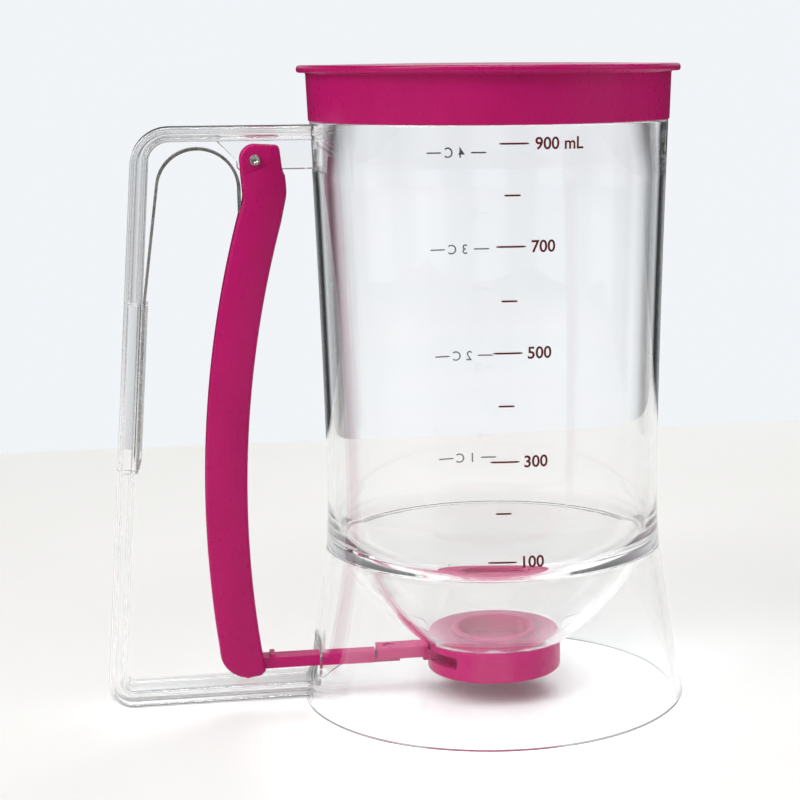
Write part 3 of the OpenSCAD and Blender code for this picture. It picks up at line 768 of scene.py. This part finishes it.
def trigger():
    """The squeezed lever: a channel, with a slotted head on the pin and bearings for the rod in its foot."""
    body = soft_bar("squeeze_trigger", trigger_outline(), TRIGGER_W, 1.3 * MM, 0.6 * MM, 0.7 * MM)
    foot_c = foot_centre()
    channel_w = TRIGGER_W - 2 * CHEEK_T
    floor_t = 1.6 * MM
    floor = FOOT_Z + floor_t
    top = PIN_Z + 2 * BOSS_R
    wall_top = WEB_LOW_Z - 1.6 * MM
    seat_x = BEND_X - BEND_R - STRIP_T / 2 - 0.1 * MM
    seat_z = HEAD_LOW_Z - 3.5 * MM
    head_x = HEAD_FRONT_X - 0.4 * MM + FINGER_T
    past_front, past_back = HEAD_FRONT_X - 5 * MM, HEAD_BACK_X + 20 * MM
    # The channel is open at the back, except where the floor of the foot curls up
    hollow = [(band_x(BAND_IN + FINGER_T, z), z) for z in spread(floor, seat_z, 36)]
    hollow += [(seat_x, seat_z), (seat_x, HEAD_LOW_Z), (head_x, HEAD_LOW_Z + 4 * MM), (head_x, wall_top),
               (past_front, wall_top), (past_front, top), (past_back, top), (past_back, foot_c[1])]
    hollow += arc(foot_c, FOOT_CORNER_R - floor_t, 0, -math.pi / 2, 10)
    channel = plate("channel", hollow, channel_w)
    window_x, window_top = 60 * MM, floor + ROD_T + 3 * MM
    window = plate("window", [(window_x, floor), (foot_c[0], floor), (foot_c[0], window_top),
                              (window_x, window_top)], ROD_W + 1 * MM)
    combine(body, "DIFFERENCE", channel, window)
    # Each side of the head is sunk round the pin
    land = rounded([(HEAD_BACK_X + 3 * MM, PIN_Z - 6.2 * MM), (PIN_X - 3.4 * MM, PIN_Z - 1.6 * MM, 3 * MM),
                    (PIN_X - 5 * MM, PIN_Z + 1 * MM, 2 * MM), (PIN_X - 3.4 * MM, PIN_Z + 7 * MM),
                    (HEAD_BACK_X + 3 * MM, PIN_Z + 7 * MM)])
    depth = 0.8 * MM
    for side in (-1, 1):
        near, far = TRIGGER_W / 2 - depth, TRIGGER_W / 2 + 2 * MM
        y0, y1 = sorted((side * near, side * far))
        combine(body, "DIFFERENCE", extrude("land", [(-x, z) for x, z in land], y0, y1, 0.3 * MM))
    combine(body, "DIFFERENCE", rod_y("bore", -PIN_X, PIN_Z, PIN_R + 0.05 * MM, TRIGGER_W + 2 * MM),
            rod_y("bearing", -HINGE_X, GATE_Z, ROD_T / 2 + 0.05 * MM, channel_w + 2 * MM))
    return dress(body, MAGENTA, "trigger", "magenta_plastic", "trigger")


def pivot_pin():
    """The steel pin, with a dimple in each end."""
    end = PIN_L / 2
    dimple_r = PIN_R * 0.62
    dimple = [(0, end - 0.45 * MM), (PIN_R * 0.35, end - 0.4 * MM), (dimple_r, end - 0.05 * MM)]
    rim = rounded([(dimple_r, end), (PIN_R, end, 0.3 * MM), (PIN_R, 0)], 4)[1:-1]
    half = dimple + rim
    profile = half + [(r, -z) for r, z in half[::-1]]
    pin = revolve("steel_pin", profile, 48)
    pin.data.transform(Matrix.Translation((-PIN_X, 0, PIN_Z)) @ Matrix.Rotation(math.radians(90), 4, "X"))
    return dress(pin, STEEL, "jug", "steel", "pivot_pin")


# ---------------------------------------------------------------- the leaf spring
def toward(a, b, n):
    """n points that step from a to b, without a itself."""
    return [(a[0] + (b[0] - a[0]) * t, a[1] + (b[1] - a[1]) * t) for t in spread(0, 1, n)[1:]]


def leaf_spring():
    """The strip: a straight leg in the pocket, a round bend, and an end that presses on the trigger."""
    leg_low, leg_high = spring_lo.z, POCKET_TOP_Z
    centre = Vector((BEND_X, BEND_Z))
    x_low = grip_front_x(leg_low) - 0.1 * MM - STRIP_T / 2
    x_high = grip_front_x(leg_high) - 0.1 * MM - STRIP_T / 2
    run = Vector((x_high, leg_high)) - centre
    leave = math.atan2(run.y, run.x) + math.acos(BEND_R / run.length)
    line = [(BEND_X - BEND_R, z) for z in spread(HEAD_LOW_Z - 1 * MM, BEND_Z, 6)[:-1]]
    line += arc(centre, BEND_R, math.pi, leave, 40)
    line += toward(line[-1], (x_high, leg_high), 16)
    line += toward((x_high, leg_high), (x_low, leg_low), 12)
    left, right = [], []
    for i, p in enumerate(line):
        a, b = Vector(line[max(i - 1, 0)]), Vector(line[min(i + 1, len(line) - 1)])
        along = (b - a).normalized()
        side = Vector((-along.y, along.x)) * STRIP_T / 2
        left.append(tuple(Vector(p) + side))
        right.append(tuple(Vector(p) - side))
    spring = plate("return_spring", left + right[::-1], STRIP_W, 0.12 * MM, 2)
    dress(spring, STEEL, None, "steel", "leaf_spring")
    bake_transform(spring)


# ---------------------------------------------------------------- the valve
def nozzle_cap():
    """The ring under the outlet, with a collar up through the jug's floor and a slot for the gate."""
    edge, rim_w, recess, drip_w = 2.4 * MM, 2.2 * MM, 1.5 * MM, 1.8 * MM
    drip_r = OUTLET_R + drip_w
    rim_r = CAP_R - rim_w
    recess_z = CAP_LOW_Z + recess
    collar_r = OUTLET_R + 1.4 * MM
    lip = 0.7 * MM
    lip_z = FLOOR_Z + FLOOR_T + 0.1 * MM
    top = FLOOR_Z - JOINT_GAP
    profile = rounded([(OUTLET_R, CAP_LOW_Z, 0.4 * MM), (drip_r, CAP_LOW_Z, 0.4 * MM),
                       (drip_r, recess_z, 0.3 * MM), (rim_r, recess_z, 0.3 * MM),
                       (rim_r, CAP_LOW_Z, 0.4 * MM), (CAP_R, CAP_LOW_Z, edge), (CAP_R, top, 0.5 * MM),
                       (collar_r, top), (collar_r, lip_z),
                       (collar_r + lip, lip_z, 0.15 * MM), (collar_r, lip_z + lip, 0.3 * MM),
                       (OUTLET_R, lip_z + lip, 0.2 * MM)], 6)
    cap = revolve("nozzle_cap_ring", profile, 160)
    slot_r = GATE_R + SLOT_GAP
    half_t = GATE_T / 2 + 0.1 * MM
    past_cap = -CAP_R - 2 * MM
    slot = arc((0, 0), slot_r, math.pi / 2, -math.pi / 2, 40) + [(past_cap, -slot_r), (past_cap, slot_r)]
    cutter = lie_flat(extrude("gate_slot", slot, -half_t, half_t))
    cutter.data.transform(Matrix.Translation((0, 0, GATE_Z)))
    combine(cap, "DIFFERENCE", cutter)
    return dress(cap, MAGENTA, "jug", "magenta_plastic", "nozzle_cap")


def gate_plate():
    """The sliding gate: a round plate, set back in the cap's slot, with a hollow tail for the rod's peg."""
    back_r = CAP_R - 4 * MM
    meet = math.asin(GATE_R / back_r)
    tail_w = ROD_W + 1.8 * MM
    neck = math.asin(tail_w / 2 / back_r)
    neck_end = CAP_R + 2 * MM
    half = arc((0, 0), GATE_R, 0, math.pi / 2, 24)
    half += arc((0, 0), back_r, math.pi - meet, math.pi - neck, 10) + [(-neck_end, tail_w / 2)]
    outline = half + [(x, -y) for x, y in half[::-1][:-1]]
    gate = lie_flat(extrude("sliding_gate", outline, -GATE_T / 2, GATE_T / 2, 0.35 * MM))
    gate.data.transform(Matrix.Translation((0, 0, GATE_Z)))
    tail_low = GATE_Z - ROD_T / 2 + 1 * MM
    tail_start = CAP_R + SLOT_GAP
    tail = plate("tail", [(tail_start, tail_low), (TAIL_END_X, tail_low), (TAIL_END_X, tail_low + ROD_T),
                          (tail_start, tail_low + ROD_T)], tail_w, 0.4 * MM)
    start, end = PEG_X - 4 * MM, TAIL_END_X + 1 * MM
    low, roof = tail_low - 1 * MM, tail_low + ROD_T - 1.3 * MM
    channel = plate("channel", [(start, low), (end, low), (end, roof), (start, roof)], ROD_W)
    hole_r, hole_top = 1.8 * MM, tail_low + 6 * MM
    hole = revolve("hole", [(0, tail_low), (hole_r, tail_low), (hole_r, hole_top), (0, hole_top)], 40)
    hole.data.transform(Matrix.Translation((-PEG_X, 0, 0)))
    combine(gate, "UNION", tail)
    combine(gate, "DIFFERENCE", channel, hole)
    return dress(gate, MAGENTA, "gate", "magenta_plastic", "gate_plate")


def pull_rod():
    """The rod from the trigger's foot to the gate: trunnions, a stop that bears on the trigger, and a
    tongue with the peg."""
    low, high = GATE_Z - ROD_T / 2, GATE_Z + ROD_T / 2
    start = TAIL_END_X + 0.4 * MM
    bar = [(start, low), (HINGE_X, low)]
    bar += arc((HINGE_X, GATE_Z), ROD_T / 2, -math.pi / 2, math.pi / 2, 14)[1:-1]
    bar += [(HINGE_X, high), (start, high)]
    rod = plate("pull_rod_bar", bar, ROD_W, 0.35 * MM)
    trunnion = rod_y("trunnion", -HINGE_X, GATE_Z, ROD_T / 2 - 0.02 * MM, rod_hi.y - rod_lo.y, 0.2 * MM)
    bump_x = band_x(BAND_IN, GATE_Z) - 3.4 * MM
    bump = plate("bump", [(bump_x, GATE_Z), (bump_x + 2 * MM, GATE_Z), (bump_x + 1.7 * MM, high + 0.9 * MM),
                          (bump_x + 0.3 * MM, high + 0.9 * MM)], ROD_W - 0.1 * MM, 0.3 * MM)
    tip, root, tongue_top = PEG_X - 3 * MM, start + 1 * MM, low + 1.8 * MM
    tongue = plate("tongue", [(tip, low), (root, low), (root, tongue_top), (tip, tongue_top)],
                   ROD_W - 0.8 * MM, 0.2 * MM)
    peg_r, peg_low, peg_top = 1.3 * MM, low + 0.5 * MM, low + 1 * MM + ROD_T - 0.2 * MM
    peg_profile = rounded([(0, peg_low), (peg_r, peg_low), (peg_r, peg_top, 0.3 * MM), (0, peg_top)])
    peg = revolve("peg", peg_profile, 40)
    peg.data.transform(Matrix.Translation((-PEG_X, 0, 0)))
    combine(rod, "UNION", trunnion, bump, tongue, peg)
    return dress(rod, MAGENTA, "pull_rod", "magenta_plastic", "pull_rod")


# ---------------------------------------------------------------- the printed scales
INK_LIFT = 0.02 * MM
INK_T = 0.02 * MM
# Height of the font's capitals at size 1
CAPITAL_H = 0.73


def on_jug(mesh, angle, z):
    """Wraps flat artwork in x and y round the jug, with its origin at an angle in degrees and a height."""
    for v in mesh.vertices:
        height = z + v.co.y
        r = jug_r(height) + INK_LIFT
        a = math.radians(angle) + v.co.x / r
        r += v.co.z
        v.co = (r * math.cos(a), r * math.sin(a), height)


def lettering(text, height, weight):
    """A flat mesh of a text, centred on its own middle."""
    curve = bpy.data.curves.new("lettering", "FONT")
    curve.body = text
    curve.size = height / CAPITAL_H
    curve.align_x = "CENTER"
    curve.align_y = "CENTER"
    curve.offset = weight
    curve.extrude = INK_T / 2
    curve.resolution_u = 6
    obj = bpy.data.objects.new("lettering", curve)
    bpy.context.scene.collection.objects.link(obj)
    mesh = bpy.data.meshes.new_from_object(obj.evaluated_get(bpy.context.evaluated_depsgraph_get()))
    bpy.data.objects.remove(obj)
    bpy.data.curves.remove(curve)
    xs = [v.co.x for v in mesh.vertices]
    ys = [v.co.y for v in mesh.vertices]
    mesh.transform(Matrix.Translation((-(min(xs) + max(xs)) / 2, -(min(ys) + max(ys)) / 2, 0)))
    return mesh


def tick(length, thick):
    """A flat bar with rounded ends, cut across often enough to bend round the jug."""
    bm = bmesh.new()
    half = thick / 2
    low, high = -INK_T / 2, INK_T / 2
    rows = []
    for x in spread(-length / 2, length / 2, 10):
        inset = max(0.0, abs(x) - (length / 2 - half))
        h = max(half * 0.45, math.sqrt(max(half * half - inset * inset, 0)))
        rows.append([bm.verts.new((x, y, z)) for y, z in ((-h, low), (h, low), (h, high), (-h, high))])
    for a, b in zip(rows, rows[1:]):
        for k in range(4):
            n = (k + 1) % 4
            bm.faces.new((a[k], a[n], b[n], b[k]))
    bm.faces.new(rows[0])
    bm.faces.new(rows[-1])
    bmesh.ops.recalc_face_normals(bm, faces=bm.faces)
    mesh = bpy.data.meshes.new("tick")
    bm.to_mesh(mesh)
    bm.free()
    return mesh


def scale(name, material, marks):
    """One piece from marks of (flat mesh, angle, height)."""
    bm = bmesh.new()
    for mesh, angle, z in marks:
        on_jug(mesh, angle, z)
        bm.from_mesh(mesh)
        bpy.data.meshes.remove(mesh)
    obj = new_object(name, bm)
    return dress(obj, material, "jug", None)


# Height of each mark in the scale, from the photo, in millimetres
ML_HEIGHTS = {
    100: 51.3,
    200: 64.8,
    300: 79.1,
    400: 94.4,
    500: 108.8,
    600: 122.8,
    700: 137.3,
    800: 150.8,
    900: 164.3,
}
# The scale leans: its angle round the jug at the 900 mark, and how far it turns for each millimetre
# down, both in degrees. The numbers and the unit stand a turn away from the marks.
ML_ANGLE = -92.05
ML_LEAN = -0.0386
NUMBER_TURN = 10.05
UNIT_TURN = 18.7
LONG_TICK = 8.0 * MM
SHORT_TICK = 4.4 * MM
ML_TICK_T = 0.5 * MM
ML_H = 3.3 * MM
ML_WEIGHT = 0.085 * MM


def millilitre_scale():
    """The front's scale: a mark at each hundred, longer and with its number at the odd ones."""
    marks = []
    top = ML_HEIGHTS[900]
    for amount, z in ML_HEIGHTS.items():
        angle = ML_ANGLE + ML_LEAN * (top - z)
        long = amount % 200 == 100
        marks.append((tick(LONG_TICK if long else SHORT_TICK, ML_TICK_T), angle, z * MM))
        if long:
            marks.append((lettering(str(amount), ML_H, ML_WEIGHT), angle + NUMBER_TURN, z * MM))
    marks.append((lettering("mL", ML_H, ML_WEIGHT), ML_ANGLE + UNIT_TURN, top * MM))
    return scale("millilitre_scale", INK_RED, marks)


# Height in millimetres of each cup mark, and its middle's angle round the jug in degrees
CUP_PLACES = {1: (61.0, 90.4), 2: (93.8, 91.2), 3: (127.4, 92.2), 4: (162.0, 92.9)}
CUP_TICK_TURN = 8.4
CUP_LETTER_TURN = 2.7
CUP_NUMBER_TURN = -2.1
CUP_TICK = 5.2 * MM
CUP_TICK_T = 0.45 * MM
CUP_H = 3.1 * MM
CUP_WEIGHT = 0.03 * MM


def cup_scale():
    """The back's scale: a number and a C between two short lines for each cup."""
    marks = []
    for cups, (z, angle) in CUP_PLACES.items():
        for side in (-1, 1):
            marks.append((tick(CUP_TICK, CUP_TICK_T), angle + side * CUP_TICK_TURN, z * MM))
        marks.append((lettering("C", CUP_H, CUP_WEIGHT), angle + CUP_LETTER_TURN, z * MM))
        marks.append((lettering(str(cups), CUP_H, CUP_WEIGHT), angle + CUP_NUMBER_TURN, z * MM))
    return scale("cup_scale", INK_BLACK, marks)


# ---------------------------------------------------------------- studio
# The photograph's view in degrees, its heading from +Y towards +X, and its place
VIEW_HEADING = 10.277
VIEW_PITCH = 9.980
VIEW_ROLL = -0.388
VIEW_PLACE = (-91.76 * MM, -552.76 * MM, 186.17 * MM)
WALL_COLOUR = (0.88, 0.905, 0.935, 1)
# How many dark flags stand round the wall, and how bright they are on the side that the photograph
# looks towards and on the others
FLAGS = 8
FLAG_LEVEL = 0.04
SIDE_FLAG_LEVEL = 0.5
# How bright the ceiling is through clear plastic, the room in gloss, and the room's own light
CEILING_LEVEL = 0.16
GLOSS_LEVEL = 0.03
DIFFUSE_LEVEL = 0.34


def camera():
    """The photograph's view: a little above the jug, with a long lens. The photograph is the left part
    of a wider frame, so the lens is shifted."""
    heading, pitch, roll = [math.radians(a) for a in (VIEW_HEADING, VIEW_PITCH, VIEW_ROLL)]
    focal_px, shift_px, frame_px, sensor = 1941.3, -120, 800, 36
    ahead, aside = math.cos(heading), math.sin(heading)
    forward = Vector((aside * math.cos(pitch), ahead * math.cos(pitch), -math.sin(pitch)))
    right = Vector((ahead, -aside, 0))
    up = right.cross(forward)
    right, up = (math.cos(roll) * right + math.sin(roll) * up, math.cos(roll) * up - math.sin(roll) * right)
    data = bpy.data.cameras.new("camera")
    data.sensor_width = sensor
    data.lens = focal_px * sensor / frame_px
    data.shift_x = shift_px / frame_px
    cam = bpy.data.objects.new("camera", data)
    turn = Matrix((right, up, -forward)).transposed().to_4x4()
    cam.matrix_world = Matrix.Translation(VIEW_PLACE) @ turn
    bpy.context.scene.collection.objects.link(cam)
    bpy.context.scene.camera = cam


def softbox(name, place, target, size, watts):
    """A rectangular lamp, which clear plastic mirrors but doesn't show through itself."""
    data = bpy.data.lights.new(name, "AREA")
    data.shape = "RECTANGLE"
    data.size, data.size_y = size
    data.energy = watts
    lamp = bpy.data.objects.new(name, data)
    lamp.location = place
    lamp.rotation_euler = (Vector(target) - Vector(place)).to_track_quat("-Z", "Y").to_euler()
    lamp.visible_transmission = False
    bpy.context.scene.collection.objects.link(lamp)
    return lamp


def world():
    """A pale wall all round for the camera. Clear plastic sees it with soft flags between its pale panels
    and a dim ceiling, which draw its edges. The flags are dark on the side that the photograph looks
    towards and faint elsewhere. Gloss sees a dim room with a pale band low on its wall."""
    w = bpy.data.worlds.new("studio")
    bpy.context.scene.world = w
    w.use_nodes = True
    tree = w.node_tree
    tree.nodes.clear()

    def add(kind, *inputs, **settings):
        n = tree.nodes.new(kind)
        for key, value in settings.items():
            setattr(n, key, value)
        for socket, value in zip(n.inputs, inputs):
            if isinstance(value, bpy.types.NodeSocket):
                tree.links.new(value, socket)
            else:
                socket.default_value = value
        return n

    def calc(operation, *inputs):
        return add("ShaderNodeMath", *inputs, operation=operation).outputs[0]

    direction = add("ShaderNodeSeparateXYZ", add("ShaderNodeTexCoord").outputs["Generated"])
    x, y, z = direction.outputs
    turned = calc("SUBTRACT", calc("ARCTAN2", x, y), math.radians(VIEW_HEADING))
    panels = calc("COSINE", calc("MULTIPLY", turned, FLAGS))
    aside = calc("ABSOLUTE", turned)
    flag = add("ShaderNodeMapRange", aside, 0.8, 1.2, FLAG_LEVEL, SIDE_FLAG_LEVEL).outputs[0]
    flags = add("ShaderNodeMapRange", panels, -0.6, 0.3, flag, 1).outputs[0]
    ceiling = add("ShaderNodeMapRange", z, 0.12, 0.34, 1, CEILING_LEVEL).outputs[0]
    through = calc("MULTIPLY", flags, ceiling)
    band_foot = add("ShaderNodeMapRange", z, 0.05, 0.2, GLOSS_LEVEL, 1).outputs[0]
    band_head = add("ShaderNodeMapRange", z, 0.2, 0.4, 1, GLOSS_LEVEL).outputs[0]
    mirror = calc("MULTIPLY", band_foot, band_head)
    path = add("ShaderNodeLightPath").outputs
    mirrored = calc("GREATER_THAN", path["Is Glossy Ray"], path["Is Transmission Ray"])
    strength = add("ShaderNodeMapRange", mirrored, 0, 1, through, mirror).outputs[0]
    seen = add("ShaderNodeBackground", WALL_COLOUR, calc("MAXIMUM", strength, path["Is Camera Ray"]))
    light = add("ShaderNodeBackground", (1, 1, 1, 1), DIFFUSE_LEVEL)
    bent = calc("MAXIMUM", path["Is Glossy Ray"], path["Is Transmission Ray"])
    shown = calc("MAXIMUM", path["Is Camera Ray"], bent)
    mix = add("ShaderNodeMixShader", shown, light.outputs[0], seen.outputs[0])
    tree.links.new(mix.outputs[0], add("ShaderNodeOutputWorld").inputs[0])


def table_top():
    """The pale table that the dispenser stands on, with its back edge where the photo has it."""
    s = Shader("table_paint")
    cloud = s.noise(s.place(), 6, 2.0)
    colour = s.ramp(cloud, [(0.3, (0.90, 0.895, 0.87)), (0.7, (0.93, 0.925, 0.905))])
    s.done(s.principled(Base_Color=colour, Roughness=0.5, Specular_IOR_Level=0.2))
    bm = bmesh.new()
    bmesh.ops.create_cube(bm, size=1)
    x0, x1, y0, y1, thick = -1.6, 1.6, -2.0, 0.40, 0.03
    for v in bm.verts:
        v.co = (x0 if v.co.x < 0 else x1, y0 if v.co.y < 0 else y1, -thick if v.co.z < 0 else 0)
    bmesh.ops.bevel(bm, geom=bm.edges[:], offset=0.004, segments=3, affect="EDGES", profile=0.5)
    top = new_object("table_top", bm)
    top.data.materials.append(s.material)


def studio():
    """The render settings that clear plastic needs, the room, the table and the lamps."""
    scene = bpy.context.scene
    scene.view_settings.view_transform = "Standard"
    scene.cycles.max_bounces = 64
    scene.cycles.transmission_bounces = 64
    scene.cycles.glossy_bounces = 64
    scene.cycles.transparent_max_bounces = 32
    world()
    table_top()
    softbox("key", (-1.0, -0.5, 0.85), (0, 0, 0.08), (0.6, 0.8), 10)
    softbox("rim", (-0.1, -0.3, 1.1), (0, 0, 0.18), (0.9, 0.25), 10).visible_diffuse = False
    softbox("top", (0, -0.6, 1.0), (0, 0, 0.1), (0.9, 0.3), 2).visible_glossy = False
    softbox("fill", (0.9, -0.5, 0.6), (0, 0, 0.08), (0.6, 0.9), 2.8)
    softbox("back", (0.3, 0.9, 0.9), (0, 0, 0.1), (0.9, 0.5), 6)


# ---------------------------------------------------------------- the whole
camera()
studio()
clear_body()
lid()
trigger()
pivot_pin()
leaf_spring()
nozzle_cap()
gate_plate()
pull_rod()
millilitre_scale()
cup_scale()
